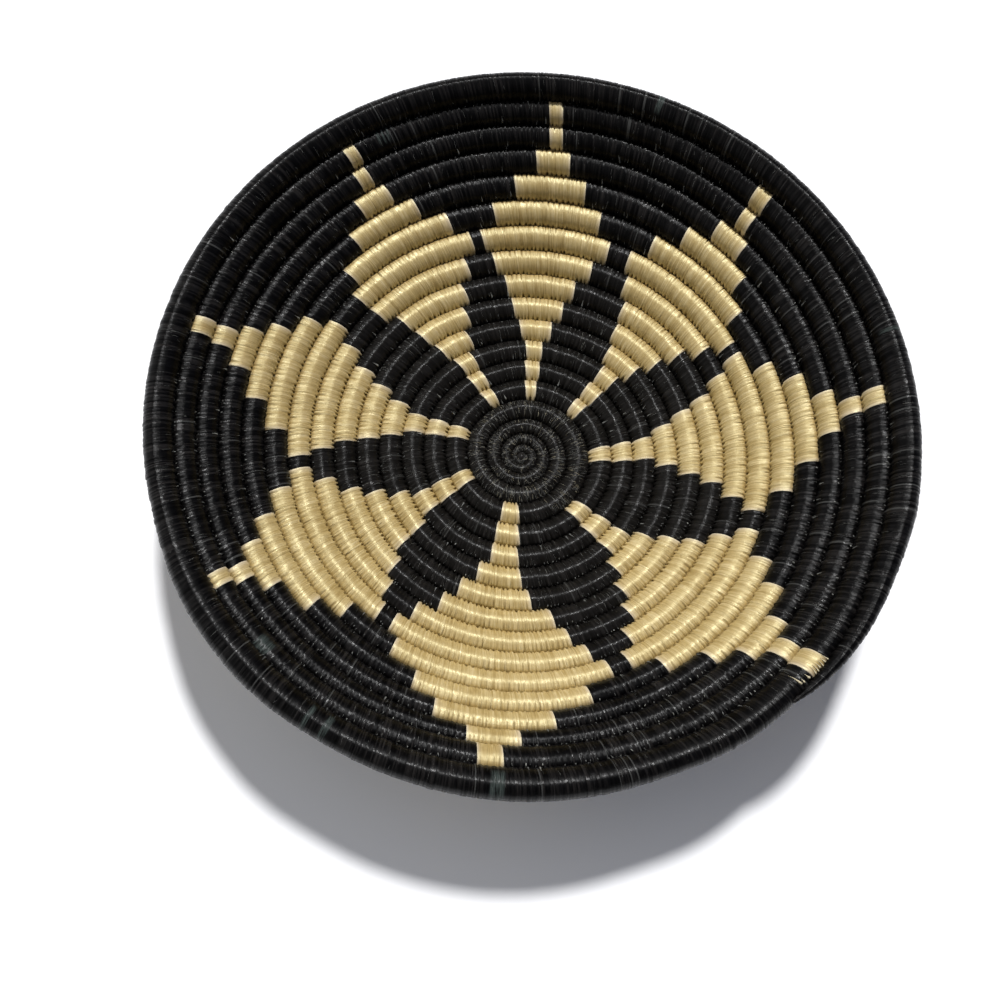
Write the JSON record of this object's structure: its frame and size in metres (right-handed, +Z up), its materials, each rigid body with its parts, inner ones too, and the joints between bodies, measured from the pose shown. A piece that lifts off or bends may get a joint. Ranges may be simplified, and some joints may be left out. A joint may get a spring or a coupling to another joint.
{
  "type": "coiled basket",
  "caption": "Shallow round coiled basket of grass wrapped in sisal, with natural petals of a flower on a black ground.",
  "frame": {"origin": "On the plane that the basket stands on, below the middle of its bounding box.", "axes": "+Z up out of the bowl; +X to the right and +Y away from the viewer in the picture, whose top is the far side."},
  "size_m": [0.3038, 0.2998, 0.0701],
  "materials": {
    "natural_sisal": "undyed sisal thread with a satin sheen, wrapped in close stitches",
    "black_sisal": "black dyed sisal thread with a soft sheen, wrapped in close stitches",
    "grass_bundle": "dry grass, matt, hidden inside the wrapping"
  },
  "bodies": {
    "root": {"grass_foundation": "grass_bundle", "centre_wrapping": "black_sisal", "petal_south": "natural_sisal", "petal_southwest": "natural_sisal", "petal_northwest": "natural_sisal", "petal_north_northwest": "natural_sisal", "petal_north": "natural_sisal", "petal_northeast": "natural_sisal", "petal_east": "natural_sisal", "petal_southeast": "natural_sisal", "field_before_south": "black_sisal", "field_before_southwest": "black_sisal", "field_before_northwest": "black_sisal", "field_before_north_northwest": "black_sisal", "field_before_north": "black_sisal", "field_before_northeast": "black_sisal", "field_before_east": "black_sisal", "field_before_southeast": "black_sisal", "rim_wrapping": "black_sisal", "tail_wrapping": "black_sisal"}
  },
  "joints": []
}
